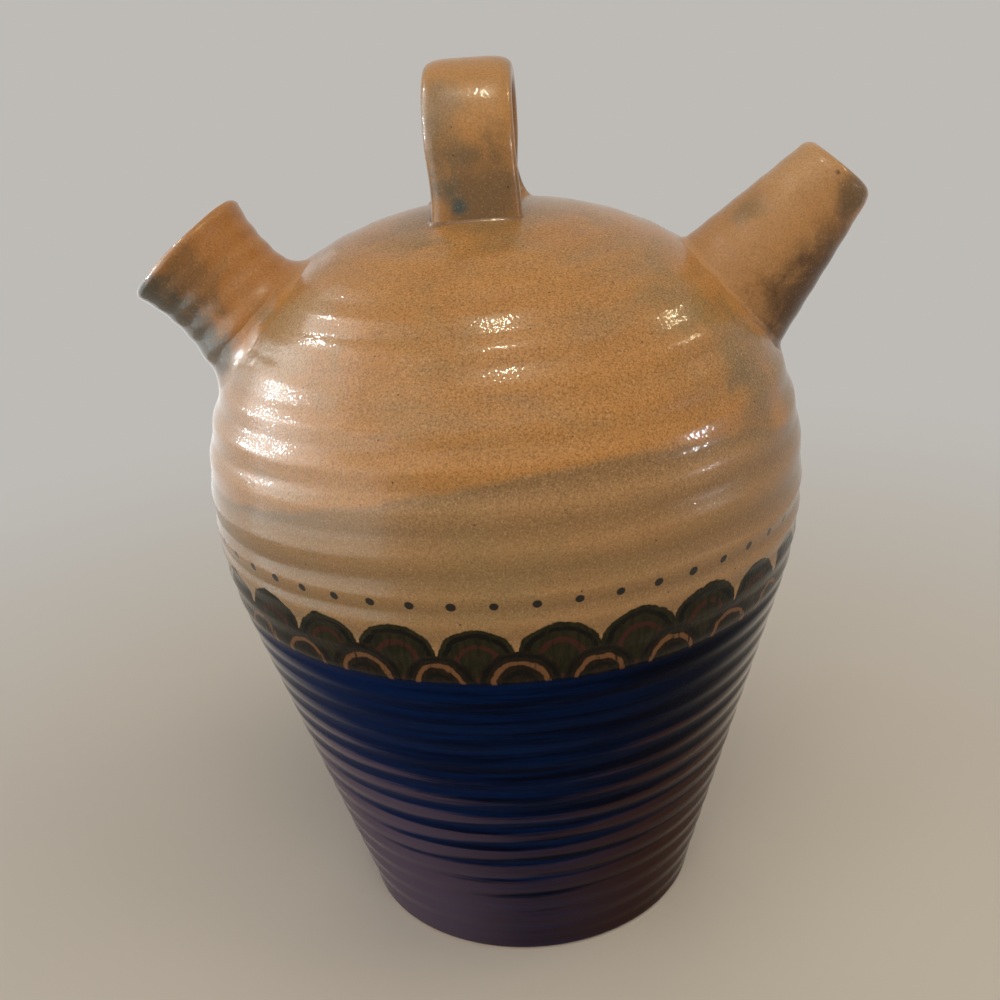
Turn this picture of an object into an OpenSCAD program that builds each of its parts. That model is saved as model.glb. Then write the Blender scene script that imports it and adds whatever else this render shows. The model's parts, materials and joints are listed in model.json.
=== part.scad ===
// Two-spouted stoneware water jug, built from thrown and luted clay pieces.
// The origin is the centre of the flat foot, +Z is up, the filler mouth leans
// towards -X, the pouring spout towards +X, and the strap handle arches over
// the top from front (-Y) to back (+Y).

/* [Body] */
// Radius at which the tapered wall meets the table
foot_r = 59; // [50:0.5:66]
// Rounding of the edge of the foot
foot_round = 2.5; // [1:0.5:5]
// Largest radius of the body, at the seam
belly_r = 98; // [90:0.5:106]
// Height of the seam, where the body is widest
belly_z = 155; // [135:1:175]
// Radius of the curve between the tapered wall and the seam
belly_curve = 125; // [100:1:150]
// Thickness of the thrown wall
wall = 6; // [4:0.5:8]
// Thickness of the floor
floor_t = 9; // [6:0.5:14]
// Fillet inside, between floor and wall
floor_fillet = 9; // [4:0.5:14]

/* [Dome] */
// Height of the dome above the seam
dome_h = 88; // [82:0.5:96]
// Fullness of the dome: 2 is an ellipse, more is squarer
dome_fullness = 2.2; // [2:0.05:2.5]

/* [Throwing rings] */
// Number of rings between the foot and the seam
wall_rings = 18; // [10:1:24]
// Depth of the rings on the tapered wall
wall_ring_depth = 0.7; // [0.1:0.1:1.4]
// Number of rings between the seam and the top of the dome
dome_rings = 11; // [6:1:16]
// Depth of the rings on the dome
dome_ring_depth = 0.6; // [0.1:0.1:1.2]

/* [Seam coil] */
// Height of the clay coil pressed over the seam inside
coil_h = 22; // [12:1:32]
// Thickness of the coil at the seam
coil_t = 4; // [2:0.5:6]

/* [Filler mouth] */
// Height above the seam at which the mouth's axis leaves the dome
filler_rise = 58.5; // [52:0.5:64]
// Place of the mouth round the jug's axis, in degrees
filler_heading = 184; // [172:1:188]
// Lean of the mouth's axis above the horizontal, in degrees
filler_lean = 50; // [44:1:58]
// Swing of the mouth's axis to the side, in degrees
filler_swing = -10; // [-12:1:12]
// Length of the mouth above the dome, along its axis
filler_len = 30; // [26:0.5:40]
// Radius of the straight throat
filler_throat_r = 14; // [11:0.5:16]
// Thickness of the wall at the waist
filler_wall = 5.4; // [4:0.2:7]
// Distance of the waist above the dome
filler_waist_s = 11.5; // [8:0.5:15]
// Spread of the lip beyond the waist
filler_lip_spread = 2.6; // [1:0.2:5]
// Spread of the root beyond the waist
filler_root_spread = 1.8; // [0.6:0.2:3]
// Depth of the flared part of the throat below the lip
filler_flare_depth = 9; // [6:0.5:12]
// Thickness of the rounded lip
filler_lip = 4.4; // [3:0.2:5.4]
// Height above the dome at which the straight throat begins
filler_seat_s = 4; // [3:0.5:8]
// Width of the ledge below the throat, where the way into the body narrows
filler_ledge = 2; // [1:0.5:4]
// Reach of the clay worked into the joint round the mouth
filler_weld_reach = 5; // [3:0.5:8]

/* [Pouring spout] */
// Height above the seam at which the spout's axis leaves the dome
spout_rise = 58; // [52:0.5:64]
// Place of the spout round the jug's axis, in degrees
spout_heading = -3; // [-10:1:10]
// Lean of the spout's axis above the horizontal, in degrees
spout_lean = 48; // [42:1:56]
// Length of the spout above the dome, along its axis
spout_len = 46.5; // [38:0.5:60]
// Radius of the spout where it meets the dome
spout_root_r = 22; // [19:0.2:25]
// Radius of the straight outlet at the tip
spout_outlet_r = 5; // [3:0.5:7]
// Length of the straight outlet
spout_outlet_len = 12; // [6:0.5:18]
// Thickness of the wall round the outlet
spout_tip_wall = 7.8; // [5.5:0.2:9]
// Rounding of the outside edge of the tip
spout_tip_round = 4; // [1:0.5:5]
// Thickness of the spout's wall at its root
spout_root_wall = 5.5; // [4:0.5:8]
// Radius of the hole cut in the dome under the spout
spout_hole_r = 9; // [5:0.5:12]
// Reach of the clay worked into the joint round the spout
spout_weld_reach = 3; // [2:0.5:6]

/* [Handle] */
// Height of the handle's crown above the top of the dome
handle_rise = 43; // [36:0.5:60]
// Width of the strap
handle_w = 27; // [18:0.5:34]
// Thickness of the strap
handle_t = 9; // [6:0.5:11]
// Share of the strap's thickness that its round edges take up
handle_edge = 0.8; // [0.3:0.05:0.9]
// Distance between the outer faces of the two legs
handle_span = 49; // [44:0.5:60]
// Turn of the handle about the jug's axis, in degrees
handle_turn = -2; // [-12:1:12]
// Sideways shift of the handle from the jug's axis
handle_shift = -3.5; // [-6:0.5:6]
// Reach of the clay worked into the joint round each leg
handle_weld_reach = 2; // [1.5:0.5:5]

/* [Hidden] */
$fn = 96;

// Glaze and clay colours
SAND = "#c79a63";
SLATE_BLUE = "#1d2750";
OCHRE = "#b98546";
RAW_CLAY = "#b99878";

// Points on each ring, on each smooth wall and on each small curve
RING_STEPS = 8;
WALL_STEPS = 24;
COIL_STEPS = 4;
CURVE_STEPS = 8;

// Height of the worked clay up a neck for each unit of its reach, and its spread with depth below the root
WELD_RISE = 1.5;
WELD_SPREAD = 0.6;

// Centre of the belly curve, and the angle of the wall that runs tangent to it from the foot
curve_x = belly_r - belly_curve;
taper = atan2(belly_z, foot_r - curve_x) - acos(belly_curve / norm([foot_r - curve_x, belly_z]));

// Ends of the seam coil on the inner walls
coil_low_z = belly_z - coil_h / 2;
coil_high_t = asin(pow(coil_h / 2 / (dome_h - wall), dome_fullness / 2));

// Sizes that follow from the necks' bores and walls
filler_waist_r = filler_throat_r + filler_wall;
filler_rim_r = filler_waist_r + filler_lip_spread;
filler_root_r = filler_waist_r + filler_root_spread;
filler_hole_r = filler_throat_r - filler_ledge;
spout_tip_r = spout_outlet_r + spout_tip_wall;

// How far below the dome's surface a neck runs before it is cut to the dome's shape
neck_sink = max(filler_root_r, spout_root_r) / 2;

// Handle: middle of each leg, height of the arch's centre, and rounding of the strap
handle_round = handle_edge * handle_t / 2;
leg_y = (handle_span - handle_t) / 2;
arch_z = belly_z + dome_h + handle_rise - handle_span / 2;
leg_sink = handle_span / 4;

// Point at share u of the curve that leaves p0 towards p1 and reaches p2
function bend(p0, p1, p2, steps) = [
    for (i = [0:steps])
        let (u = i / steps) (1 - u) * (1 - u) * p0 + 2 * u * (1 - u) * p1 + u * u * p2
];

// Depth of a throwing ring at phase u, where each whole number is a crest
function ring_dip(u, depth) = depth * (1 - cos(360 * u)) / 2;

// Radius of the tapered wall at height z, set in from the outside by inset
function wall_r(z, inset = 0) =
    let (curve = belly_curve - inset, below = belly_z - z)
    below < curve * sin(taper)
        ? curve_x + sqrt(curve * curve - below * below)
        : foot_r - inset / cos(taper) + z * tan(taper);

// Radius of the ringed outside of the tapered wall
function ringed_wall_r(z) = wall_r(z) - ring_dip(wall_rings * z / belly_z, wall_ring_depth);

// Point on the dome at angle t from the seam, set in from the outside by inset
function dome_point(t, inset = 0) = [
    (belly_r - inset) * pow(max(cos(t), 0), 2 / dome_fullness),
    belly_z + (dome_h - inset) * pow(max(sin(t), 0), 2 / dome_fullness)
];

// Point on the ringed outside of the dome
function ringed_dome_point(t) =
    let (keep = 1 - ring_dip(dome_rings * t / 90, dome_ring_depth) / belly_r, p = dome_point(t))
    [p.x * keep, belly_z + (p.y - belly_z) * keep];

// Radius of the dome at a height above the seam, and the angle of its surface normal there
function dome_r(rise) = belly_r * pow(1 - pow(rise / dome_h, dome_fullness), 1 / dome_fullness);
function dome_normal(rise) = atan2(
    pow(rise, dome_fullness - 1) / pow(dome_h, dome_fullness),
    pow(dome_r(rise), dome_fullness - 1) / pow(belly_r, dome_fullness)
);

// Height of the dome at a distance from the axis
function dome_z(r) = belly_z + dome_h * pow(1 - pow(r / belly_r, dome_fullness), 1 / dome_fullness);

// Inside of the tapered wall below the coil, of both walls behind it, and of the dome above it
inner_wall_low = [
    for (i = [0:WALL_STEPS - 1])
        let (z = floor_t + floor_fillet + (coil_low_z - floor_t - floor_fillet) * i / WALL_STEPS)
        [wall_r(z, wall), z]
];
coil_wall_low = [
    for (i = [0:COIL_STEPS])
        let (z = coil_low_z + (belly_z - coil_low_z) * i / COIL_STEPS) [wall_r(z, wall), z]
];
coil_wall_high = [for (i = [0:COIL_STEPS]) dome_point(coil_high_t * i / COIL_STEPS, wall)];
inner_dome_high = [
    for (i = [1:WALL_STEPS]) dome_point(coil_high_t + (90 - coil_high_t) * i / WALL_STEPS, wall)
];

function reversed(points) = [for (i = [len(points) - 1:-1:0]) points[i]];

// Thrown jar: flat floor and tapered wall, up to the seam
module lower_body() {
    steps = wall_rings * RING_STEPS;
    foot = bend([foot_r - foot_round, 0], [foot_r, 0], [ringed_wall_r(foot_round), foot_round], CURVE_STEPS);
    outside = [
        for (i = [1:steps])
            let (z = foot_round + (belly_z - foot_round) * i / steps) [ringed_wall_r(z), z]
    ];
    corner_r = wall_r(floor_t, wall);
    corner = bend(
        [corner_r - floor_fillet, floor_t], [corner_r, floor_t],
        [wall_r(floor_t + floor_fillet, wall), floor_t + floor_fillet], CURVE_STEPS
    );
    inside = concat([for (i = [0:CURVE_STEPS - 1]) corner[i]], inner_wall_low, coil_wall_low);
    color(SLATE_BLUE)
        rotate_extrude()
            polygon(concat([[0, 0]], foot, outside, reversed(inside), [[0, floor_t]]));
}

// Outside of the dome from the seam to the top, as points
function dome_outline() = [
    for (i = [0:dome_rings * RING_STEPS]) ringed_dome_point(90 * i / (dome_rings * RING_STEPS))
];

// Solid under the outside of the dome, which cuts every luted piece to its seat
module dome_mass() {
    rotate_extrude() polygon(concat([[0, belly_z]], dome_outline()));
}

// Thrown dome that closes the body, with the two holes cut under the necks
module shoulder_dome() {
    hole_reach = neck_sink + wall;
    color(SAND)
        difference() {
            rotate_extrude()
                polygon(concat(dome_outline(), reversed(concat(coil_wall_high, inner_dome_high))));
            at_filler() translate([0, 0, -hole_reach]) cylinder(r = filler_hole_r, h = 2 * hole_reach);
            at_spout() translate([0, 0, -hole_reach]) cylinder(r = spout_hole_r, h = 2 * hole_reach);
        }
}

// Clay coil pressed over the seam on the inside
module seam_coil() {
    back = concat(coil_wall_low, [for (i = [1:COIL_STEPS]) coil_wall_high[i]]);
    low = back[0];
    high = back[len(back) - 1];
    // The curve runs midway between its ends and this point, so the point lies twice as far in
    belly = [belly_r - wall - 2 * coil_t, belly_z];
    front = bend(high, belly, low, 2 * COIL_STEPS);
    color(RAW_CLAY)
        rotate_extrude()
            polygon(concat(back, [for (i = [1:2 * COIL_STEPS - 1]) front[i]]));
}

// Frame of a neck: its origin is on the dome's surface, and +Z runs along the neck's axis
module on_dome(heading, rise, lean, swing = 0) {
    rotate([0, 0, heading])
        translate([dome_r(rise), 0, belly_z + rise])
            rotate([0, 90 - lean, swing])
                children();
}

module at_filler() on_dome(filler_heading, filler_rise, filler_lean, filler_swing) children();
module at_spout() on_dome(spout_heading, spout_rise, spout_lean) children();

// Filler mouth: where its round lip begins, its outside radius at distance s along its axis,
// and its outside from below the dome's surface up to top_s
filler_lip_s = filler_len - filler_lip / 2;

function filler_r(s) =
    s > filler_waist_s
        ? filler_waist_r + filler_lip_spread * pow((s - filler_waist_s) / (filler_lip_s - filler_waist_s), 2)
        : filler_waist_r + filler_root_spread * pow((filler_waist_s - max(s, 0)) / filler_waist_s, 2);

function filler_outside(top_s, steps) = concat(
    [[filler_root_r, -neck_sink]],
    [for (i = [0:steps]) let (s = top_s * i / steps) [filler_r(s), s]]
);

// Thrown mouth with a waist and a rounded, turned-out lip, for filling the jug
module filler_mouth() {
    lip_r = filler_lip / 2;
    lip_middle = [filler_rim_r - lip_r, filler_lip_s];
    lip = [
        for (i = [1:2 * CURVE_STEPS - 1])
            let (a = 90 * i / CURVE_STEPS) lip_middle + lip_r * [cos(a), sin(a)]
    ];
    flare_s = filler_len - filler_flare_depth;
    flare = bend(
        [filler_rim_r - filler_lip, filler_lip_s], [filler_throat_r, (filler_lip_s + flare_s) / 2],
        [filler_throat_r, flare_s], CURVE_STEPS
    );
    way_in = [
        [filler_throat_r, filler_seat_s],
        [filler_hole_r, filler_seat_s - filler_ledge],
        [filler_hole_r, -neck_sink]
    ];
    color(OCHRE)
        difference() {
            at_filler()
                rotate_extrude()
                    polygon(concat(filler_outside(filler_lip_s, WALL_STEPS), lip, flare, way_in));
            dome_mass();
        }
}

// Pouring spout: its outside radius at distance s along its axis, and its outside from below the
// dome's surface up to top_s
function spout_r(s) = spout_root_r + (spout_tip_r - spout_root_r) * s / spout_len;

function spout_outside(top_s) = [for (s = [-neck_sink, top_s]) [spout_r(s), s]];

// Thrown tapering spout with a straight outlet bored through its rounded tip
module pouring_spout() {
    side = spout_outside(spout_len - spout_tip_round);
    tip = bend(side[1], [spout_tip_r, spout_len], [spout_tip_r - spout_tip_round, spout_len], CURVE_STEPS);
    outlet = [[spout_outlet_r, spout_len], [spout_outlet_r, spout_len - spout_outlet_len]];
    root_bore = [spout_r(-neck_sink) - spout_root_wall, -neck_sink];
    color(SAND)
        difference() {
            at_spout()
                rotate_extrude()
                    polygon(concat([side[0]], tip, outlet, [root_bore]));
            dome_mass();
        }
}

// Clay worked round a neck's root: it hugs the neck's side and sweeps out to below the dome's surface,
// where the dome then cuts it
module root_collar(side, root_r, reach) {
    top = side[len(side) - 1];
    hem = [root_r + reach + WELD_SPREAD * neck_sink, -neck_sink];
    sweep = bend(top, [root_r, 0], hem, CURVE_STEPS);
    rotate_extrude()
        polygon(concat(side, [for (i = [1:CURVE_STEPS]) sweep[i]]));
}

module filler_weld() {
    side = filler_outside(WELD_RISE * filler_weld_reach, CURVE_STEPS);
    color(OCHRE)
        difference() {
            at_filler() root_collar(side, filler_root_r, filler_weld_reach);
            dome_mass();
        }
}

module spout_weld() {
    side = spout_outside(WELD_RISE * spout_weld_reach);
    color(SAND)
        difference() {
            at_spout() root_collar(side, spout_root_r, spout_weld_reach);
            dome_mass();
        }
}

// Frame of the handle: the strap arches over local Y
module at_handle() {
    rotate([0, 0, handle_turn]) translate([handle_shift, 0, 0]) children();
}

// Height of the dome under a leg, and the slope there
leg_foot_z = dome_z(leg_y);
leg_foot_slope = 90 - dome_normal(leg_foot_z - belly_z);

// Rectangle with round corners, centred on the origin
module rounded_strip(w, t, r) {
    square([w - 2 * r, t], center = true);
    square([w, t - 2 * r], center = true);
    for (x = [-1, 1], y = [-1, 1])
        translate([x * (w / 2 - r), y * (t / 2 - r)]) circle(r);
}

// One upright leg of the strap, from the end of the arch down into the dome
module handle_leg(side) {
    translate([0, side * leg_y, arch_z])
        mirror([0, 0, 1])
            linear_extrude(arch_z - leg_foot_z + leg_sink)
                rounded_strip(handle_w, handle_t, handle_round);
}

// Pulled strap: two legs joined by a half-round arch
module strap_handle() {
    color(OCHRE)
        difference() {
            at_handle() {
                for (side = [-1, 1]) handle_leg(side);
                translate([0, 0, arch_z])
                    rotate([90, 0, 90])
                        rotate_extrude(angle = 180)
                            translate([leg_y, 0]) rounded_strip(handle_t, handle_w, handle_round);
            }
            dome_mass();
        }
}

// Fillet of clay round one leg, tilted to the dome's slope
module leg_fillet() {
    reach = handle_weld_reach;
    core_w = handle_w - 2 * handle_round;
    core_t = handle_t - 2 * handle_round;
    skirt = 2 * reach;
    section = concat(
        [[0, -skirt], [handle_round + reach, -skirt]],
        bend([handle_round + reach, 0], [handle_round, 0], [handle_round, reach], CURVE_STEPS),
        [[0, reach]]
    );
    for (x = [-1, 1], y = [-1, 1])
        translate([x * core_w / 2, y * core_t / 2])
            rotate_extrude() polygon(section);
    for (turn = [0, 180]) {
        rotate([0, 0, turn]) translate([core_w / 2, core_t / 2, 0])
            rotate([90, 0, 0]) linear_extrude(core_t) polygon(section);
        rotate([0, 0, turn]) translate([-core_w / 2, core_t / 2, 0])
            rotate([90, 0, 90]) linear_extrude(core_w) polygon(section);
    }
}

module handle_weld(side) {
    color(OCHRE)
        difference() {
            at_handle()
                difference() {
                    translate([0, side * leg_y, leg_foot_z])
                        rotate([-side * leg_foot_slope, 0, 0]) leg_fillet();
                    handle_leg(side);
                }
            dome_mass();
        }
}

module handle_front_weld() handle_weld(-1);
module handle_rear_weld() handle_weld(1);

lower_body();
shoulder_dome();
seam_coil();
filler_mouth();
filler_weld();
pouring_spout();
spout_weld();
strap_handle();
handle_front_weld();
handle_rear_weld();
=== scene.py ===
import json
import math

import bpy
import numpy as np
from mathutils import Matrix, Vector


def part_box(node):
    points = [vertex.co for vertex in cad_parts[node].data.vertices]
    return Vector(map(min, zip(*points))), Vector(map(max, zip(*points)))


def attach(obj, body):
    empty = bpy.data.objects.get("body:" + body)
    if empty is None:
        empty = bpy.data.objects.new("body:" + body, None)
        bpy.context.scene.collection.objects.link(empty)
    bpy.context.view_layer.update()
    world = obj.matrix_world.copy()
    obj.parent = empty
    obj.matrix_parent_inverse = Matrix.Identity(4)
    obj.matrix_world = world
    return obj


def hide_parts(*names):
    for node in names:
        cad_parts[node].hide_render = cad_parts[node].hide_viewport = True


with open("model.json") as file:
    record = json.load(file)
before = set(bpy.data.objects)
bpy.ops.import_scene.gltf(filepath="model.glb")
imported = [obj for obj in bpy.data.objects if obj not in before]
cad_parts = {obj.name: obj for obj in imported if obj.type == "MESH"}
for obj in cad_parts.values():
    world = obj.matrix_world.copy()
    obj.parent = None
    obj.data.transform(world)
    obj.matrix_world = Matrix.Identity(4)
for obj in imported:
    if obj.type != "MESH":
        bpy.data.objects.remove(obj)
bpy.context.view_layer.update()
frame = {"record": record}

# Lengths below are in millimetres, and MM brings them to metres
MM = 0.001
TAU = 2 * math.pi

# Thrown body: foot, tapered wall, belly curve and dome
FOOT_R = 59.0
FOOT_ROUND = 2.5
# Width of the outer ring of faces under the foot
FOOT_RING = 14.0
# Rows of the skin above the floor that stay bare
BARE_ROWS = 3
BELLY_R = 98.0
BELLY_CURVE = 125.0
SEAM_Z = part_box("lower_body")[1].z / MM
DOME_H = 88.0
FULLNESS = 2.2
WALL = 6.0
FLOOR_T = 9.0
FLOOR_FILLET = 9.0
CURVE_X = BELLY_R - BELLY_CURVE
TAPER = math.atan2(SEAM_Z, FOOT_R - CURVE_X) - math.acos(BELLY_CURVE / math.hypot(FOOT_R - CURVE_X, SEAM_Z))

# Throwing rings: how many, and how deep they are at each height
WALL_RINGS = 18
DOME_RINGS = 12.3
RING_HEIGHTS = (0, 8, 20, 60, 85, 118, 135, 175, 190, 215, 234, 243)
RING_DEPTHS = (0, 0.3, 0.5, 0.5, 0.3, 0.25, 0.75, 0.75, 0.6, 0.5, 0.3, 0)
# How a ring wanders: size, waves round the jug, lean with height, and start
RING_WANDER = ((0.10, 1, 0.021, 0.0), (0.07, 2, -0.035, 1.3), (0.04, 3, 0.06, 0.0))
# Depth at which a valley counts as full, and the finer finger marks in each ring
FULL_VALLEY = 0.6
FINGERS = 3
FINGER_SHARE = 0.1
# How far the body is out of round, and the heights over which the skin is trued at its foot and top
OUT_OF_ROUND = 0.15
TRUE_FOOT = (0, 6)
TRUE_TOP = (236, 242)
# Least distance kept inside the true outline
SKIN_INSET = 0.25
# Depth to which a luted piece runs on under the dome's skin, and a weld's back inside its neck or strap
SEAT_INSET = 1.4
WELD_BACK = 1.5
# Reach along a neck's axis in which the dome is looked for and cut
SEAT_RANGE = (-26.0, 22.0)
CUT_RANGE = (-20, 20)

# Filler mouth. A weld's numbers are its rise on the neck and its reach on the dome
MOUTHS = {m["name"]: m for m in frame["record"]["mounts"]}
FILLER_LEN = 30.0
FILLER_FLARE = 9.0
FILLER_SEAT = 4.0
FILLER_THROAT_R = MOUTHS["filler_throat"]["dims"]["r_mm"]
FILLER_HOLE_R = FILLER_THROAT_R - 2.0
FILLER_WAIST_R = 19.4
FILLER_WAIST_S = 11.5
FILLER_ROOT_SPREAD = 1.8
FILLER_LIP_SPREAD = 2.6
FILLER_LIP = 4.4
FILLER_RING_DEPTH = 0.14
FILLER_RING_PITCH = 6.5
FILLER_WELD = (6.5, 6.5)

# Pouring spout
SPOUT_LEN = 46.5
SPOUT_ROOT_R = 22.0
SPOUT_TIP_R = 12.8
SPOUT_TIP_ROUND = 4.0
SPOUT_OUTLET_R = MOUTHS["spout_outlet"]["dims"]["r_mm"]
SPOUT_OUTLET_LEN = MOUTHS["spout_outlet"]["dims"]["length_mm"]
SPOUT_ROOT_WALL = 5.5
SPOUT_HOLE_R = 9.0
SPOUT_MOUTH_ROUND = 1.4
SPOUT_WELD = (2.4, 2.8)

# Strap handle. A weld's numbers are its rise, its reach and how far its upper edge is sunk
HANDLE_W = 27.0
HANDLE_T = 9.0
HANDLE_SPAN = 49.0
HANDLE_TURN = math.radians(-2)
HANDLE_SHIFT = -3.5
HANDLE_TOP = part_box("strap_handle")[1].z / MM
LEG_Y = (HANDLE_SPAN - HANDLE_T) / 2
ARCH_Z = HANDLE_TOP - HANDLE_SPAN / 2
# Distance that the strap's middle line is kept inside the true one
STRAP_INSET = 0.15
# How square the strap's section is: 1 is an ellipse, and less has flatter sides and faces
STRAP_SIDES = 0.42
STRAP_FACES = 0.72
FRONT_WELD = (0.9, 1.2, 0.3)
REAR_WELD = (11.0, 4.4, 1.3)

# Coil over the seam: half its height, its thickness and its thumb marks
COIL_HALF = 11.0
COIL_THICK = 4.0
THUMB_DEPTH = 0.7
THUMB_MARKS = 44

# Fineness of the meshes, where a pair is for the wall and the dome
COLUMNS = 288
ROUND = np.linspace(0, TAU, COLUMNS, endpoint=False)
ROW_STEP = 0.9
OUTLINE_POINTS = (900, 1200)
INSIDE_ROWS = (34, 40)
NECK_COLUMNS = 112
FILLER_ROWS = 45
SPOUT_ROWS = 60
STRAP_COLUMNS = 56
# Angle in degrees from which a fold is a sharp edge
CREASE = 40
SOFT_CREASE = 60

# Painted fields: their heights and marks, and the radius at which marks are shared out
COLOUR_LINE = 124.4
BAND_R = 94.0
DIP_HEIGHT = 177.0
BEAD_HEIGHT = 150.2
BEAD_R = 1.5
BEADS = 52.0
SCALLOPS_IN_ROW = 26.0
# Painted reflection of a brown floor in the cobalt: how high it goes at the front, how much higher at the
# sides, and how slowly it fades
FLOOR_REFLECTION_FRONT = 38.0
FLOOR_REFLECTION_SIDES = 52.0
FLOOR_REFLECTION_FADE = 60.0
# Heights between which wet paint begins to shine on its crests
SHINE_FROM = 50.0
SHINE_FULL = 90.0

# Fired gloss: roughness where it is glassy and where it is dull, its specular level and its coat
GLASSY = 0.06
DULL = 0.13
SHINE = 0.15
COAT = 0.45
SATIN = 0.36


def colour(red, green, blue):
    """Screen colour, 0 to 255, as the linear values that a shader takes."""
    shares = [c / 255 for c in (red, green, blue)]
    return [c / 12.92 if c <= 0.04045 else ((c + 0.055) / 1.055) ** 2.4 for c in shares] + [1.0]


def bend(start, corner, end, steps):
    """Points of the curve that leaves start towards corner and reaches end."""
    u = np.linspace(0, 1, steps + 1)[:, None]
    a, b, c = (np.asarray(p, float) for p in (start, corner, end))
    return (1 - u) ** 2 * a + 2 * u * (1 - u) * b + u ** 2 * c


# Outline of the thrown body
def wall_radius(z, inset=0.0):
    """Radius of the tapered wall at a height, set in from the outside."""
    curve = BELLY_CURVE - inset
    below = SEAM_Z - np.asarray(z, float)
    belly = CURVE_X + np.sqrt(np.maximum(curve ** 2 - below ** 2, 0))
    cone = FOOT_R - inset / math.cos(TAPER) + np.asarray(z, float) * math.tan(TAPER)
    return np.where(below < curve * math.sin(TAPER), belly, cone)


def dome_line(t, inset=0.0):
    """Points of the dome at angles t from the seam, set in from the outside."""
    power = 2 / FULLNESS
    r = (BELLY_R - inset) * np.maximum(np.cos(t), 0) ** power
    return np.stack([r, SEAM_Z + (DOME_H - inset) * np.maximum(np.sin(t), 0) ** power], 1)


def under_dome(points, inset=0.0):
    """Below zero inside the dome set in by inset, and above zero outside it."""
    r = np.hypot(points[..., 0], points[..., 1]) / (BELLY_R - inset)
    rise = np.maximum(points[..., 2] - SEAM_Z, 0) / (DOME_H - inset)
    return r ** FULLNESS + rise ** FULLNESS - 1


def dome_height(x, y, inset=0.0):
    """Height of the dome set in by inset, over a place seen from above."""
    r = np.hypot(x, y) / (BELLY_R - inset)
    return SEAM_Z + (DOME_H - inset) * np.maximum(1 - r ** FULLNESS, 0) ** (1 / FULLNESS)


def even_rows(line, step, *along):
    """The line again with points about a step apart, and what else runs along it."""
    run = np.concatenate([[0], np.cumsum(np.linalg.norm(np.diff(line, axis=0), axis=1))])
    at = np.linspace(0, run[-1], max(int(run[-1] / step), 2) + 1)
    rows = np.stack([np.interp(at, run, line[:, i]) for i in range(2)], 1)
    return [rows] + [np.interp(at, run, values) for values in along]


def ring_dip(phase, z, a):
    """How far the thrown skin lies inside the true outline, and how deep in a ring's valley, from 0 to 1."""
    wander = sum(size * np.sin(waves * a + lean * z + start) for size, waves, lean, start in RING_WANDER)
    turn = phase - a / TAU + wander
    valley = 0.5 - 0.5 * np.cos(TAU * turn)
    finger = 0.5 - 0.5 * np.cos(TAU * FINGERS * turn + 0.8 * np.sin(2 * a))
    uneven = 0.8 + 0.2 * np.sin(1.9 * phase + 0.6 * np.sin(a) + 0.4)
    oval = OUT_OF_ROUND * (1 + np.cos(2 * a - 0.7 + 0.012 * z))
    depth = np.interp(z, RING_HEIGHTS, RING_DEPTHS)
    at_top = np.interp(z, TRUE_TOP, (1, 0))
    at_foot = np.interp(z, TRUE_FOOT, (0, 1))
    dip = at_foot * (SKIN_INSET + depth * uneven * valley + at_top * (FINGER_SHARE * depth * finger + oval))
    return dip, valley * np.minimum(depth / FULL_VALLEY, 1)


def skin_grid(rows, phase):
    """Points of the thrown skin, and how deep in a ring's valley each one lies, from 0 to 1."""
    slope = np.gradient(rows, axis=0)
    outward = np.stack([slope[:, 1], -slope[:, 0]], 1)
    outward /= np.linalg.norm(outward, axis=1)[:, None]
    z, a = rows[:, 1][:, None], ROUND[None, :]
    dip, valley = ring_dip(phase[:, None], z, a)
    r = rows[:, 0][:, None] - dip * outward[:, 0][:, None]
    height = z - dip * outward[:, 1][:, None]
    return np.stack([r * np.cos(a), r * np.sin(a), height], 2), valley


def dome_dip(points):
    """How far the dome's skin lies inside the true outline near some points."""
    z = np.clip(points[..., 2], SEAM_Z, SEAM_Z + DOME_H)
    t = np.arcsin(((z - SEAM_Z) / DOME_H) ** (FULLNESS / 2))
    phase = WALL_RINGS + DOME_RINGS * t / (math.pi / 2)
    return ring_dip(phase, z, np.arctan2(points[..., 1], points[..., 0]))[0]


# Making meshes
def turned(rows, ring=False):
    """Vertices and faces of rows of points round an axis: a row of one point is a pole,
    and a ring joins its last row to its first."""
    starts = np.concatenate([[0], np.cumsum([len(row) for row in rows])])
    pairs = list(zip(range(len(rows) - 1), range(1, len(rows))))
    if ring:
        pairs.append((len(rows) - 1, 0))
    faces, bands = [], []
    for band, (low, high) in enumerate(pairs):
        a, b = starts[low], starts[high]
        n = max(len(rows[low]), len(rows[high]))
        for j in range(n):
            k = (j + 1) % n
            if len(rows[low]) == 1:
                faces.append((a, b + k, b + j))
            elif len(rows[high]) == 1:
                faces.append((a + j, a + k, b))
            else:
                faces.append((a + j, a + k, b + k, b + j))
            bands.append(band)
    return np.concatenate(rows), faces, np.array(bands)


def lathe(profile):
    """Rows of points round the jug's axis, one for each radius and height."""
    return [np.stack([r * np.cos(ROUND), r * np.sin(ROUND), np.full(COLUMNS, z)], 1) for r, z in profile]


def make_piece(name, points, faces, finishes, node, face_finish=None, crease=CREASE):
    """One named piece of the jug, in place of its node."""
    mesh = bpy.data.meshes.new(name)
    mesh.from_pydata((np.asarray(points) * MM).tolist(), [], [tuple(int(i) for i in f) for f in faces])
    for finish in finishes:
        mesh.materials.append(finish)
    if face_finish is not None:
        mesh.polygons.foreach_set("material_index", np.asarray(face_finish, np.int32))
    mesh.shade_smooth()
    mesh.set_sharp_from_angle(angle=math.radians(crease))
    mesh.update()
    piece = bpy.data.objects.new(name, mesh)
    bpy.context.scene.collection.objects.link(piece)
    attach(piece, "root")
    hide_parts(node)
    return piece


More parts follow.
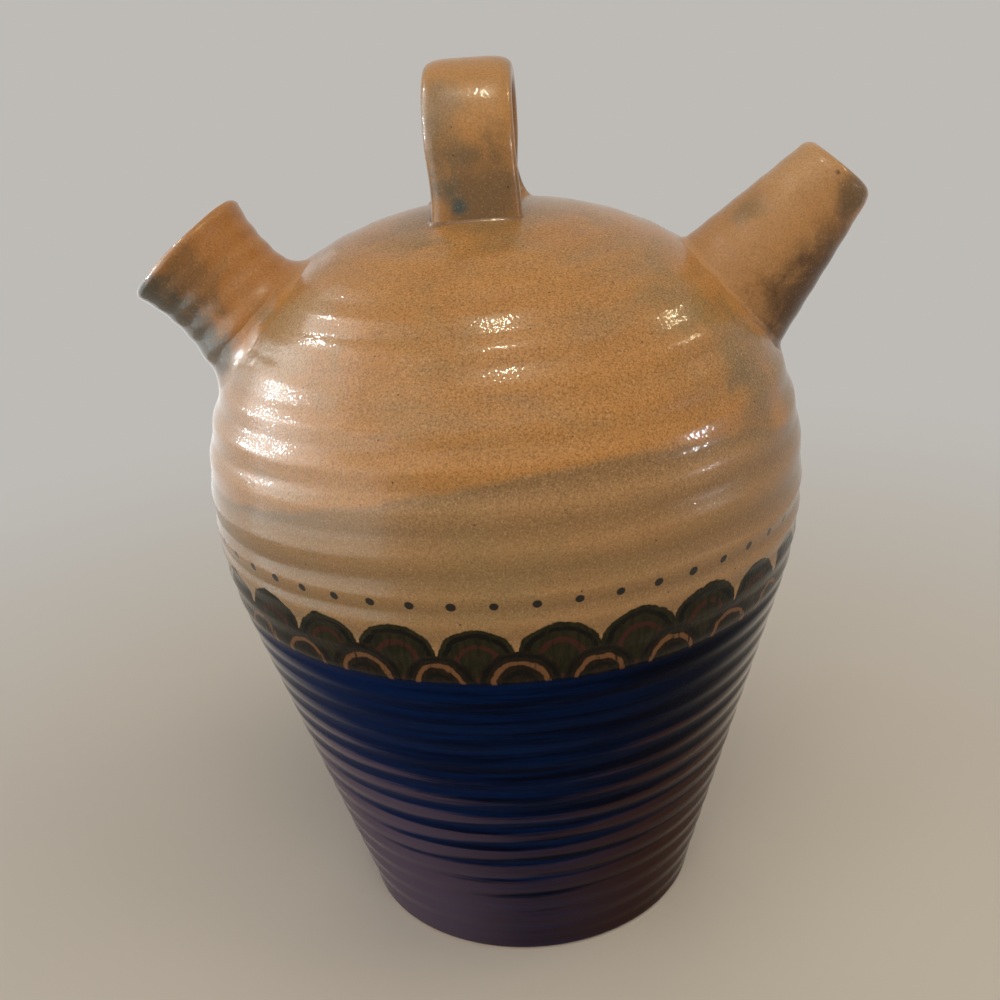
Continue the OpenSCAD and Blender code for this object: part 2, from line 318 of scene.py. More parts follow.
def mark_rings(piece, values):
    """Keeps the depth of the throwing rings on the mesh, for the glazes to read."""
    marks = piece.data.attributes.new("ring_valley", "FLOAT", "POINT")
    marks.data.foreach_set("value", np.asarray(values, np.float32))


def smooth_over_seam(piece, seam_rows):
    """Gives the outer faces at the seam the skin's own direction, so that light runs on across it."""
    mesh = piece.data
    angles = np.arctan2(seam_rows[1, :, 1], seam_rows[1, :, 0])
    along = np.roll(seam_rows[1], -1, 0) - np.roll(seam_rows[1], 1, 0)
    outward = np.cross(along, seam_rows[2] - seam_rows[0])
    outward /= np.linalg.norm(outward, axis=1)[:, None]
    places = {int(round(a / TAU * COLUMNS)) % COLUMNS: tuple(n) for a, n in zip(angles, outward)}
    normals = [(0.0, 0.0, 0.0)] * len(mesh.loops)
    for face in mesh.polygons:
        if face.material_index:
            continue
        for loop in face.loop_indices:
            p = mesh.vertices[mesh.loops[loop].vertex_index].co / MM
            if abs(p.z - SEAM_Z) < 1e-2:
                normals[loop] = places[int(round(math.atan2(p.y, p.x) / TAU * COLUMNS)) % COLUMNS]
    mesh.normals_split_custom_set(normals)


class Neck:
    """A mouth or spout luted to the dome: its place, its axis and the directions round it."""

    def __init__(self, mount, middle):
        self.axis = np.array(mount["axis"], float) / np.linalg.norm(mount["axis"])
        self.root = np.array(mount["pos_m"], float) / MM - self.axis * middle
        up = np.array([0.0, 0.0, 1.0]) - self.axis * self.axis[2]
        self.up = up / np.linalg.norm(up)
        self.side = np.cross(self.axis, self.up)
        self.angle = np.linspace(0, TAU, NECK_COLUMNS, endpoint=False)

    def row(self, r, s):
        """Points round the axis at radius r and distance s along it."""
        r, s = np.broadcast_to(r, self.angle.shape), np.broadcast_to(s, self.angle.shape)
        round_axis = np.cos(self.angle)[:, None] * self.up + np.sin(self.angle)[:, None] * self.side
        return self.root + r[:, None] * round_axis + s[:, None] * self.axis

    def seat(self, radius, depth):
        """Distance along the axis, for each direction, at which a side of that radius
        reaches a depth under the dome's skin."""
        low, high = (np.full(NECK_COLUMNS, s) for s in SEAT_RANGE)
        for _ in range(40):
            s = (low + high) / 2
            points = self.row(radius(s), s)
            inside = under_dome(points, dome_dip(points) + depth) < 0
            low, high = np.where(inside, s, low), np.where(inside, high, s)
        return (low + high) / 2

    def hole(self, r):
        """A round cutter along the axis, as an object for one cut."""
        rows = [self.row(r, s) for s in CUT_RANGE]
        ends = [rows[0].mean(0)[None], *rows, rows[1].mean(0)[None]]
        points, faces, _ = turned(ends)
        mesh = bpy.data.meshes.new("cutter")
        mesh.from_pydata((points * MM).tolist(), [], [tuple(int(i) for i in f) for f in faces])
        cutter = bpy.data.objects.new("cutter", mesh)
        bpy.context.scene.collection.objects.link(cutter)
        return cutter


FILLER = Neck(MOUTHS["filler_throat"], (FILLER_LEN - FILLER_FLARE + FILLER_SEAT) / 2)
SPOUT = Neck(MOUTHS["spout_outlet"], SPOUT_LEN - SPOUT_OUTLET_LEN / 2)


# Shader nodes
class Board:
    """The nodes of one material or group, laid and joined."""

    def __init__(self, tree):
        self.tree = tree
        tree.nodes.clear()

    def put(self, kind, inputs=None, **settings):
        """A new node with its settings and what its inputs take."""
        node = self.tree.nodes.new(kind)
        for key, value in settings.items():
            setattr(node, key, value)
        for key, value in (inputs or {}).items():
            self.feed(node.inputs[key], value)
        return node

    def feed(self, socket, value):
        """Joins another node's output to a socket, or sets its value."""
        if isinstance(value, bpy.types.NodeSocket):
            self.tree.links.new(value, socket)
        else:
            socket.default_value = value

    def calc(self, operation, *values):
        """One step of arithmetic."""
        node = self.put("ShaderNodeMath", operation=operation)
        for socket, value in zip(node.inputs, values):
            self.feed(socket, value)
        return node.outputs[0]

    def blend(self, share, first, second):
        """Two colours, and how much of the second."""
        node = self.put("ShaderNodeMix", data_type="RGBA", clamp_factor=True)
        for socket, value in zip((node.inputs[0], node.inputs[6], node.inputs[7]), (share, first, second)):
            self.feed(socket, value)
        return node.outputs[2]

    def spread(self, value, low, high, to_low=0.0, to_high=1.0, kind="SMOOTHSTEP"):
        """A value that runs from low to high, brought to another range and kept in it."""
        node = self.put("ShaderNodeMapRange", interpolation_type=kind, clamp=True)
        for socket, number in zip(node.inputs, (value, low, high, to_low, to_high)):
            self.feed(socket, number)
        return node.outputs[0]

    def stretch(self, place, scale, turn=(0.0, 0.0, 0.0)):
        """A place scaled and turned, so that a pattern read there is drawn out."""
        return self.put("ShaderNodeMapping", {"Vector": place, "Scale": scale, "Rotation": turn}).outputs[0]

    def noise(self, place, scale, detail=2.0, rough=0.5, warp=0.0):
        """Soft noise, from 0 to 1."""
        inputs = {"Vector": place, "Scale": scale, "Detail": detail, "Roughness": rough, "Distortion": warp}
        return self.put("ShaderNodeTexNoise", inputs).outputs["Fac"]

    def group(self, tree, **inputs):
        """A shared effect with its own values. An underline in a key stands for a space."""
        node = self.put("ShaderNodeGroup", node_tree=tree)
        for key, value in inputs.items():
            self.feed(node.inputs[key.replace("_", " ")], value)
        return node.outputs


def new_group(name, inputs, outputs):
    """An empty group with named sockets, its board and its two ends."""
    tree = bpy.data.node_groups.new(name, "ShaderNodeTree")
    for direction, sockets in (("INPUT", inputs), ("OUTPUT", outputs)):
        for key, kind in sockets.items():
            tree.interface.new_socket(key, in_out=direction, socket_type="NodeSocket" + kind)
    board = Board(tree)
    return board, board.put("NodeGroupInput").outputs, board.put("NodeGroupOutput").inputs


def make_grain_group():
    """Sandy grain of the glaze, and iron specks burnt through it."""
    board, given, out = new_group(
        "iron_grain",
        {"Place": "Vector", "Glaze": "Color", "Grain": "Float", "Specks": "Float"},
        {"Glaze": "Color"},
    )
    sand = board.noise(given["Place"], 1700.0, 2.0, 0.6)
    tone = given["Glaze"]
    for start, full, tint in ((0.52, 0.34, colour(92, 62, 36)), (0.56, 0.72, colour(228, 190, 144))):
        share = board.calc("MULTIPLY", board.spread(sand, start, full), given["Grain"])
        tone = board.blend(share, tone, tint)
    cells = board.put("ShaderNodeTexVoronoi", {"Vector": given["Place"], "Scale": 330.0})
    chance = board.put("ShaderNodeSeparateColor", {"Color": cells.outputs["Color"]}).outputs[0]
    speck = board.spread(cells.outputs["Distance"], 0.13, 0.05)
    some = board.spread(chance, board.calc("SUBTRACT", 1.0, given["Specks"]), 1.0)
    tone = board.blend(board.calc("MULTIPLY", speck, some), tone, colour(50, 32, 20))
    board.feed(out["Glaze"], tone)
    return board.tree


def make_peel_group():
    """Height of a fired glaze: sandy grain, orange peel with pits, and brushed unevenness."""
    board, given, out = new_group(
        "orange_peel",
        {"Place": "Vector", "Grain": "Float", "Peel": "Float", "Wave": "Float"},
        {"Height": "Float"},
    )
    coarse = board.noise(board.stretch(given["Place"], (1.0, 1.0, 1.0), (0.5, 0.3, 0.7)), 900.0, 0.0)
    fine = board.noise(board.stretch(given["Place"], (1.0, 1.0, 1.0), (0.2, 0.9, 0.4)), 1400.0, 0.0)
    height = board.calc("MULTIPLY", board.calc("MULTIPLY_ADD", fine, 0.6, coarse), given["Grain"])
    pits = board.put("ShaderNodeTexVoronoi", {"Vector": given["Place"], "Scale": 260.0}).outputs["Distance"]
    bumps = board.noise(given["Place"], 420.0, 2.0, 0.55)
    peel = board.calc("SUBTRACT", bumps, board.spread(pits, 0.16, 0.02))
    height = board.calc("MULTIPLY_ADD", peel, given["Peel"], height)
    height = board.calc("MULTIPLY_ADD", board.noise(given["Place"], 75.0, 1.0), given["Wave"], height)
    board.feed(out["Height"], height)
    return board.tree


def make_tone_group():
    """Colour of the sand glaze: a warm dip over a greyer one, parted by a tilted wavy line,
    and pooled darker in the valleys of the throwing rings."""
    board, given, out = new_group(
        "sand_dip",
        {"Place": "Vector", "Valley": "Float", "Dip Height": "Float",
         "Warm": "Color", "Grey": "Color", "Rust": "Color", "Pool": "Color"},
        {"Glaze": "Color"},
    )
    place = board.put("ShaderNodeSeparateXYZ", {"Vector": given["Place"]}).outputs
    angle = board.calc("ARCTAN2", place[1], place[0])
    twice = board.calc("MULTIPLY_ADD", angle, 2.0, math.radians(140))
    edge = board.calc("MULTIPLY_ADD", board.calc("COSINE", twice), 10.0 * MM, given["Dip Height"])
    ragged = board.noise(given["Place"], 45.0, 3.0, 0.6)
    edge = board.calc("MULTIPLY_ADD", board.calc("SUBTRACT", ragged, 0.5), 7.0 * MM, edge)
    above = board.calc("SUBTRACT", place[2], edge)
    under = board.spread(above, 1.6 * MM, -1.2 * MM)
    mottle = board.noise(given["Place"], 26.0, 4.0, 0.62)
    clouds = board.noise(board.stretch(given["Place"], (1.0, 1.0, 4.0)), 13.0, 4.0, 0.55, 0.6)
    tone = board.blend(board.spread(mottle, 0.38, 0.68), given["Warm"], given["Rust"])
    tone = board.blend(board.spread(clouds, 0.5, 0.72, 0.0, 0.6), tone, given["Grey"])
    tone = board.blend(board.calc("MULTIPLY", under, 0.65), tone, given["Grey"])
    pooled = board.calc("MULTIPLY", given["Valley"], board.calc("MULTIPLY_ADD", under, 0.28, 0.12))
    tone = board.blend(pooled, tone, given["Pool"])
    rim = board.calc("MULTIPLY", board.spread(above, -4.5 * MM, 0.0), under)
    tone = board.blend(board.calc("MULTIPLY", rim, 0.16), tone, colour(96, 84, 58))
    board.feed(out["Glaze"], tone)
    return board.tree


def make_smoke_and_shade_group():
    """A patch of another tone, with a ragged edge, round a place on the jug. Patches serve for smoke in the
    glaze, for painted shade and for painted light.
    """
    board, given, out = new_group(
        "smoke_and_shade_patch",
        {"Place": "Vector", "Glaze": "Color", "Smoke": "Color",
         "Centre": "Vector", "Radius": "Float", "Share": "Float"},
        {"Glaze": "Color"},
    )
    off = board.put("ShaderNodeVectorMath", {0: given["Place"], 1: given["Centre"]}, operation="DISTANCE")
    ragged = board.calc("SUBTRACT", board.noise(given["Place"], 85.0, 4.0, 0.6, 0.4), 0.5)
    shift = board.calc("MULTIPLY", given["Radius"], 1.5)
    reach = board.calc("MULTIPLY_ADD", ragged, shift, off.outputs["Value"])
    inside = board.spread(reach, given["Radius"], board.calc("MULTIPLY", given["Radius"], 0.25))
    share = board.calc("MULTIPLY", inside, given["Share"])
    board.feed(out["Glaze"], board.blend(share, given["Glaze"], given["Smoke"]))
    return board.tree


def place_in_row(board, given):
    """Shares a row of painted marks out round the jug: along the row from the middle of the nearest mark
    and up from the floor, in metres, and a number of its own for each mark."""
    place = board.put("ShaderNodeSeparateXYZ", {"Vector": given["Place"]}).outputs
    turns = board.calc("DIVIDE", board.calc("ARCTAN2", place[1], place[0]), TAU)
    run = board.calc("ADD", board.calc("MULTIPLY", turns, given["Count"]), given["Start"])
    mark = board.calc("FLOORED_MODULO", board.calc("FLOOR", run), given["Count"])
    seed = board.calc("ADD", board.calc("MULTIPLY", given["Start"], 31.7), mark)
    chance = board.put("ShaderNodeTexWhiteNoise", {"W": seed}, noise_dimensions="1D").outputs["Value"]
    pitch = board.calc("DIVIDE", TAU * BAND_R * MM, given["Count"])
    along = board.calc("MULTIPLY", board.calc("SUBTRACT", board.calc("FRACT", run), 0.5), pitch)
    return along, place[2], chance


def make_scallop_group():
    """A row of brushed scallops: how far out from its middle each point of a scallop lies, 1 at its edge."""
    board, given, out = new_group(
        "brushed_scallops",
        {"Place": "Vector", "Count": "Float", "Foot": "Float", "Size": "Float", "Start": "Float"},
        {"Reach": "Float"},
    )
    along, height, chance = place_in_row(board, given)
    up = board.calc("SUBTRACT", height, given["Foot"])
    squares = board.calc("ADD", board.calc("POWER", along, 2.0), board.calc("POWER", up, 2.0))
    reach = board.calc("SQRT", squares)
    shaky = board.calc("SUBTRACT", board.noise(given["Place"], 220.0, 3.0, 0.6), 0.5)
    reach = board.calc("MULTIPLY_ADD", shaky, board.calc("MULTIPLY", given["Size"], 0.2), reach)
    size = board.calc("MULTIPLY", given["Size"], board.calc("MULTIPLY_ADD", chance, 0.16, 0.92))
    board.feed(out["Reach"], board.calc("DIVIDE", reach, size))
    return board.tree


GRAIN = make_grain_group()
PEEL = make_peel_group()
SAND_DIP = make_tone_group()
SMOKE_AND_SHADE = make_smoke_and_shade_group()
SCALLOPS = make_scallop_group()


def new_finish(name):
    """A material with its board, its surface shader and the place on the jug that its nodes read."""
    material = bpy.data.materials.new(name)
    material.use_nodes = True
    board = Board(material.node_tree)
    shader = board.put("ShaderNodeBsdfPrincipled")
    board.put("ShaderNodeOutputMaterial", {"Surface": shader.outputs[0]})
    place = board.put("ShaderNodeTexCoord").outputs["Object"]
    return material, board, shader, place


def glossy(board, shader, place, grain, peel, wave, shine=SHINE, coat=COAT, satin=SATIN):
    """Fired gloss: sparks on the grains of the surface, under a soft coat that follows the rings."""
    shader.inputs["Specular IOR Level"].default_value = shine
    board.feed(shader.inputs["Coat Weight"], coat)
    shader.inputs["Coat Roughness"].default_value = satin
    height = board.group(PEEL, Place=place, Grain=grain, Peel=peel, Wave=wave)["Height"]
    bump = board.put("ShaderNodeBump", {"Height": height, "Strength": 1.0, "Distance": 0.001})
    board.feed(shader.inputs["Normal"], bump.outputs[0])
    dull = board.noise(place, 60.0, 3.0, 0.6)
    board.feed(shader.inputs["Roughness"], board.spread(dull, 0.3, 0.75, GLASSY, DULL, "LINEAR"))


def sand_tone(board, place):
    """Sand glaze as it lies on the body, with the valleys of its rings."""
    valley = board.put("ShaderNodeAttribute", attribute_name="ring_valley").outputs["Fac"]
    tone = board.group(
        SAND_DIP, Place=place, Valley=valley, Warm=colour(206, 146, 80), Grey=colour(174, 139, 97),
        Rust=colour(198, 136, 69), Pool=colour(122, 94, 60), Dip_Height=DIP_HEIGHT * MM,
    )["Glaze"]
    cloud = board.noise(place, 26.0, 4.0, 0.6, 0.5)
    tone = board.blend(board.spread(cloud, 0.5, 0.72, 0.0, 0.4), tone, colour(158, 134, 88))
    return tone, valley


def add_patches(board, place, tone, patches):
    """Lays patches of other tones over a glaze: colour, centre and radius in millimetres, and share."""
    for tint, centre, radius, share in patches:
        tone = board.group(
            SMOKE_AND_SHADE, Place=place, Glaze=tone, Smoke=colour(*tint), Centre=[v * MM for v in centre],
            Radius=radius * MM, Share=share,
        )["Glaze"]
    return tone


def sand_grain(board, place, tone):
    """Iron grain of the sand glaze, which shows more on the dome than on the wall."""
    height = board.put("ShaderNodeSeparateXYZ", {"Vector": place}).outputs[2]
    strength = board.spread(height, 160.0 * MM, 200.0 * MM, 0.3, 0.48)
    return board.group(GRAIN, Place=place, Glaze=tone, Grain=strength, Specks=0.3)["Glaze"]


def make_sand_glaze(patches):
    """Sand glaze of the dome."""
    material, board, shader, place = new_finish("sand_glaze")
    tone = add_patches(board, place, sand_tone(board, place)[0], patches)
    board.feed(shader.inputs["Base Color"], sand_grain(board, place, tone))
    glossy(board, shader, place, grain=0.066, peel=0.05, wave=0.16)
    return material


def make_luted_glaze(name, ochre, clouded, patches=(), neck=None, joint=None, coat=COAT):
    """Richer glaze of a luted piece, with smoky patches, and with patches of painted shade and painted light.
    Round a neck it runs out into the sand glaze. The joint gives the two distances from the neck's axis
    between which it does so, and the distance, width and share of a rusty line in the crease."""
    material, board, shader, place = new_finish(name)
    tone = board.blend(board.noise(place, 50.0, 4.0, 0.6), *(colour(*tint) for tint in ochre))
    cloud = board.noise(place, 32.0, 4.0, 0.6, 0.4)
    tone = board.blend(board.spread(cloud, 0.5, 0.74, 0.0, 0.65), tone, colour(*clouded))
    if neck:
        off = board.put("ShaderNodeVectorMath", {0: place, 1: neck.root * MM}, operation="SUBTRACT")
        aside = {0: off.outputs[0], 1: neck.axis}
        across = board.put("ShaderNodeVectorMath", aside, operation="CROSS_PRODUCT")
        away = board.put("ShaderNodeVectorMath", {0: across.outputs[0]}, operation="LENGTH").outputs["Value"]
        ragged = board.calc("SUBTRACT", board.noise(place, 110.0, 3.0, 0.6), 0.5)
        away = board.calc("MULTIPLY_ADD", ragged, 3.0 * MM, away)
        starts, ends, crease, width = (v * MM for v in joint[:4])
        tone = board.blend(board.spread(away, starts, ends), tone, sand_tone(board, place)[0])
        off_crease = board.calc("ABSOLUTE", board.calc("SUBTRACT", away, crease))
        line = board.spread(off_crease, width, width * 0.2, 0.0, joint[4])
        tone = board.blend(line, tone, colour(164, 104, 48))
    tone = add_patches(board, place, tone, patches)
    tone = board.group(GRAIN, Place=place, Glaze=tone, Grain=0.24, Specks=0.2)["Glaze"]
    board.feed(shader.inputs["Base Color"], tone)
    glossy(board, shader, place, grain=0.05, peel=0.06, wave=0.2, coat=coat)
    return material


def border_tone(board, place, height, tone):
    """Border painted on the sand: a row of beads over two rows of brushed scallops, with the paint's own
    ground below them. Also the share of that ground, and how far out in each scallop a point lies."""
    hairs = board.noise(board.stretch(place, (1.0, 1.0, 0.2)), 700.0, 2.0)
    ground = board.spread(height, (COLOUR_LINE + 6.5) * MM, (COLOUR_LINE + 5.0) * MM)
    tone = board.blend(ground, tone, colour(22, 18, 9))
    beads = board.group(
        SCALLOPS, Place=place, Count=BEADS, Foot=BEAD_HEIGHT * MM, Size=BEAD_R * MM, Start=0.0,
    )["Reach"]
    tone = board.blend(board.spread(beads, 1.0, 0.75), tone, colour(26, 18, 10))
    reaches = []
    # Scallops: height of the row's foot above the colour line, size, first place, fill, streaks and arcs
    for lift, size, start, fill, streak, arcs in (
        (7.5, 12.4, 0.5, colour(30, 29, 12), colour(46, 41, 18),
         ((0.8, colour(13, 11, 5)), (0.5, colour(70, 36, 26)))),
        (-0.5, 11.6, 0.0, colour(26, 17, 8), colour(40, 28, 14),
         ((0.86, colour(10, 8, 4)), (0.62, colour(128, 88, 56)), (0.36, colour(14, 11, 6)))),
    ):
        reach = board.group(
            SCALLOPS, Place=place, Count=SCALLOPS_IN_ROW, Foot=(COLOUR_LINE + lift) * MM, Size=size * MM,
            Start=start,
        )["Reach"]
        paint = board.blend(board.spread(hairs, 0.35, 0.65), fill, streak)
        for middle, line in arcs:
            off = board.calc("ABSOLUTE", board.calc("SUBTRACT", reach, middle))
            thin = board.calc("MULTIPLY", board.spread(off, 0.085, 0.04), board.spread(hairs, 0.28, 0.45))
            paint = board.blend(thin, paint, line)
        tone = board.blend(board.spread(reach, 1.0, 0.96), tone, paint)
        reaches.append(reach)
    return tone, ground, reaches


def cobalt_tone(board, place, axes, valley):
    """Cobalt brushed round and round, with painted light on the left and painted shade on the right, and a
    painted reflection of a brown floor in streaks towards the foot. The painted reflection follows the crests
    of the rings, and it is least at the front and the back."""
    brushed = board.noise(board.stretch(place, (1.0, 1.0, 20.0)), 14.0, 5.0, 0.65)
    cobalt = board.blend(board.spread(brushed, 0.36, 0.64), colour(0, 6, 30), colour(1, 29, 73))
    # From -1 on the left of the jug to 1 on its right
    aside = board.calc("COSINE", board.calc("ARCTAN2", axes[1], axes[0]))
    # Painted shade on the right of the cobalt, and painted light on its left
    cobalt = board.blend(board.spread(aside, -0.1, 0.7, 0.0, 0.75), cobalt, colour(0, 3, 19))
    cobalt = board.blend(board.spread(aside, -0.1, -0.7, 0.0, 0.6), cobalt, colour(2, 36, 90))
    # Brown of the painted reflection: lighter and bluer on the left with painted sheen, darker and warmer on
    # the right with painted shade
    brown = board.blend(board.spread(aside, -0.7, 0.7), colour(111, 94, 111), colour(73, 45, 36))
    # Painted reflection of a brown floor: it rises higher at the sides than at the front and back, and
    # follows the crests of the rings
    sideways = board.calc("POWER", board.calc("MULTIPLY_ADD", aside, aside, 0.02), 0.3)
    top = board.calc("MULTIPLY_ADD", sideways, FLOOR_REFLECTION_SIDES * MM, FLOOR_REFLECTION_FRONT * MM)
    below = board.calc("DIVIDE", board.calc("SUBTRACT", top, axes[2]), FLOOR_REFLECTION_FADE * MM)
    streaks = board.calc("MULTIPLY_ADD", board.calc("SUBTRACT", brushed, 0.5), 1.3, below)
    streaks = board.calc("MULTIPLY_ADD", board.calc("SUBTRACT", 0.5, valley), 0.95, streaks)
    most = board.calc("MULTIPLY_ADD", sideways, 0.86, 0.07)
    painted_reflection = board.calc("MULTIPLY", board.spread(streaks, 0.0, 0.4), most)
    return board.blend(painted_reflection, cobalt, brown)


def make_painted_glaze(name, dry, grain=0.066, shine=SHINE, coat=COAT, satin=SATIN):
    """Glaze of the lower body: sand above, a border of brushed scallops, and cobalt below.
    Dry paint has no coat over it. Wet paint has more of it on the crests of the rings, where the wall
    turns away from the eye."""
    material, board, shader, place = new_finish(name)
    axes = board.put("ShaderNodeSeparateXYZ", {"Vector": place}).outputs
    height = axes[2]
    sand, valley = sand_tone(board, place)
    tone, ground, reaches = border_tone(board, place, height, sand_grain(board, place, sand))
    uneven = board.calc("SUBTRACT", board.noise(place, 60.0, 3.0), 0.5)
    edge = board.calc("MULTIPLY_ADD", uneven, 1.6 * MM, height)
    field = board.spread(edge, (COLOUR_LINE + 0.5) * MM, (COLOUR_LINE - 0.5) * MM)
    tone = board.blend(field, tone, cobalt_tone(board, place, axes, valley))
    board.feed(shader.inputs["Base Color"], tone)
    if dry:
        bare = board.calc("SUBTRACT", 1.0, ground)
        for reach in reaches:
            bare = board.calc("MULTIPLY", bare, board.spread(reach, 0.96, 1.0))
        coat = board.calc("MULTIPLY", bare, coat)
    else:
        grazing = board.put("ShaderNodeLayerWeight", {"Blend": 0.5}).outputs["Facing"]
        risen = board.spread(height, SHINE_FROM * MM, SHINE_FULL * MM)
        crest = board.calc("MULTIPLY", board.spread(valley, 0.36, 0.05), risen)
        sheen = board.calc("MULTIPLY", board.spread(grazing, 0.5, 0.86, 0.0, 0.95), crest)
        coat = board.calc("ADD", sheen, coat)
    glossy(board, shader, place, grain, peel=0.05, wave=0.16, shine=shine, coat=coat, satin=satin)
    return material


def make_raw_clay():
    """Bare buff clay of the foot and the inside, with grit."""
    material, board, shader, place = new_finish("raw_clay")
    grit = board.noise(place, 700.0, 3.0, 0.7)
    drift = board.noise(place, 30.0, 3.0)
    tone = board.blend(board.spread(drift, 0.3, 0.7), colour(190, 156, 122), colour(170, 134, 100))
    tone = board.group(GRAIN, Place=place, Glaze=tone, Grain=0.3, Specks=0.2)["Glaze"]
    board.feed(shader.inputs["Base Color"], tone)
    board.feed(shader.inputs["Roughness"], board.spread(grit, 0.2, 0.8, 0.75, 0.95, "LINEAR"))
    bump = board.put("ShaderNodeBump", {"Height": grit, "Strength": 0.5, "Distance": 0.0004})
    board.feed(shader.inputs["Normal"], bump.outputs[0])
    return material


# Patches: colour, centre and radius in millimetres, and share
SAND_GLAZE = make_sand_glaze((
    ((126, 114, 78), (70, -46, 205), 22, 0.5), ((126, 112, 80), (74, -56, 190), 16, 0.4),
    ((132, 118, 76), (53, -50, 217), 18, 0.45), ((128, 112, 74), (88, -30, 188), 19, 0.55),
    ((138, 114, 78), (0, -16, 243), 38, 0.55), ((132, 112, 78), (-24, -26, 238), 16, 0.4),
    # The second patch on this line, pale and left of the filler, is painted sheen
    ((206, 138, 66), (20, -36, 237), 13, 0.45), ((198, 162, 118), (-58, -42, 214), 24, 0.6),
    ((128, 112, 80), (-10, 50, 225), 26, 0.4), ((122, 108, 76), (-60, 52, 205), 20, 0.4),
))
FILLER_GLAZE = make_luted_glaze(
    "filler_glaze", ((198, 134, 66), (180, 124, 72)), (124, 104, 76),
    (((122, 94, 62), (-90, -24, 229), 15, 0.65), ((112, 108, 80), (-68, -26, 217), 7, 0.45),
     ((92, 92, 82), (-92, 4, 206), 20, 0.85), ((84, 86, 76), (-95, -19, 215), 18, 0.85),
     ((68, 72, 62), (-105, -17, 222), 13, 0.9), ((130, 128, 120), (-85, -22, 205), 12, 0.85)),
    FILLER, (21.8, 24.0, 22.6, 1.0, 0.0),
)
SPOUT_GLAZE = make_luted_glaze(
    "spout_glaze", ((204, 150, 94), (188, 138, 88)), (142, 118, 82),
    # The second patch on this line is painted shade on the spout's underside
    (((124, 110, 80), (78, -14, 238), 9, 0.5), ((72, 46, 18), (92, -14, 203), 26, 0.85),
     ((76, 72, 56), (110, -18, 240), 9, 0.65), ((40, 28, 16), (104.2, -18.7, 247.1), 1.1, 0.85),
     # The second patch on this line is painted light on the spout's top
     ((120, 104, 76), (86, 16, 238), 12, 0.5), ((214, 166, 116), (92, -8, 250), 19, 0.7),
     # Both patches on this line are painted shade on the spout's underside
     ((80, 52, 24), (103, -12, 219), 19, 0.7), ((92, 62, 30), (99, -15, 211), 24, 0.5)),
    SPOUT, (22.6, 24.6, 23.8, 0.9, 0.35), coat=0.3,
)
HANDLE_GLAZE = make_luted_glaze(
    "handle_glaze", ((208, 150, 84), (186, 136, 84)), (142, 122, 92),
    # The second patch on this line is painted shade on the lower front of the strap, above its foot
    (((142, 124, 98), (-13, -20, 275), 11, 0.6), ((118, 96, 68), (-3, -24, 248), 22, 0.8),
     ((134, 114, 86), (-12, -23, 262), 12, 0.5), ((108, 106, 92), (-14, -24, 251), 8, 0.6),
     ((112, 110, 96), (-9.5, -24.2, 246), 5, 0.5), ((56, 84, 92), (-9, -24.2, 245), 3.4, 0.7),
     ((118, 98, 70), (2, 22, 252), 18, 0.6)),
)
# Darker glaze of the front weld: painted shade along the line where the strap meets the dome
SHADED_WELD_GLAZE = make_luted_glaze("shaded_weld_glaze", ((150, 108, 64), (128, 94, 58)), (104, 86, 60))
BORDER_GLAZE = make_painted_glaze("border_glaze", dry=True)
COBALT_GLAZE = make_painted_glaze("cobalt_glaze", dry=False, grain=0.02, shine=0.025, coat=0.02, satin=0.12)
RAW_CLAY = make_raw_clay()


# Thrown body
def throw_skin():
    """The outer skin of the whole body, its valleys, and the number of its row at the seam."""
    foot = bend((FOOT_R - FOOT_ROUND, 0), (FOOT_R, 0), (wall_radius(FOOT_ROUND), FOOT_ROUND), 10)
    z = np.linspace(FOOT_ROUND, SEAM_Z, OUTLINE_POINTS[0])
    wall = np.concatenate([foot[:-1], np.stack([wall_radius(z), z], 1)])
    low, low_phase = even_rows(wall, ROW_STEP, WALL_RINGS * wall[:, 1] / SEAM_Z)
    t = np.linspace(0, math.pi / 2, OUTLINE_POINTS[1])
    high, high_phase = even_rows(dome_line(t), ROW_STEP, WALL_RINGS + DOME_RINGS * t / (math.pi / 2))
    skin, valley = skin_grid(np.concatenate([low, high[1:]]), np.concatenate([low_phase, high_phase[1:]]))
    return skin, valley, len(low) - 1


def make_lower_body(skin, valley, seam):
    """Thrown jar: the skin up to the seam, a flat floor and a plain inside."""
    corner = wall_radius(FLOOR_T, WALL)
    fillet_z = FLOOR_T + FLOOR_FILLET
    inner_z = np.linspace(SEAM_Z, fillet_z, INSIDE_ROWS[0])
    inside = np.stack([wall_radius(inner_z, WALL), inner_z], 1)
    fillet = bend(
        (wall_radius(fillet_z, WALL), fillet_z), (corner, FLOOR_T), (corner - FLOOR_FILLET, FLOOR_T), 8
    )[1:]
    underside = [np.zeros((1, 3)), *lathe([(FOOT_R - FOOT_RING, 0)])]
    rows = [*underside, *skin[:seam + 1], *lathe(inside), *lathe(fillet), np.array([[0, 0, FLOOR_T]])]
    points, faces, bands = turned(rows)
    # Bare foot and inside, border glaze above the colour line and cobalt below it
    finish = np.ones(len(faces), int)
    for band in range(len(underside) + BARE_ROWS, len(underside) + seam):
        finish[bands == band] = 0 if rows[band].mean(0)[2] > COLOUR_LINE else 2
    glazes = [BORDER_GLAZE, RAW_CLAY, COBALT_GLAZE]
    body = make_piece("lower_body_glazed", points, faces, glazes, "lower_body", finish)
    marks = np.zeros(len(points))
    marks[1 + COLUMNS:1 + COLUMNS + (seam + 1) * COLUMNS] = valley[:seam + 1].ravel()
    mark_rings(body, marks)
    smooth_over_seam(body, skin[seam - 1:seam + 2])


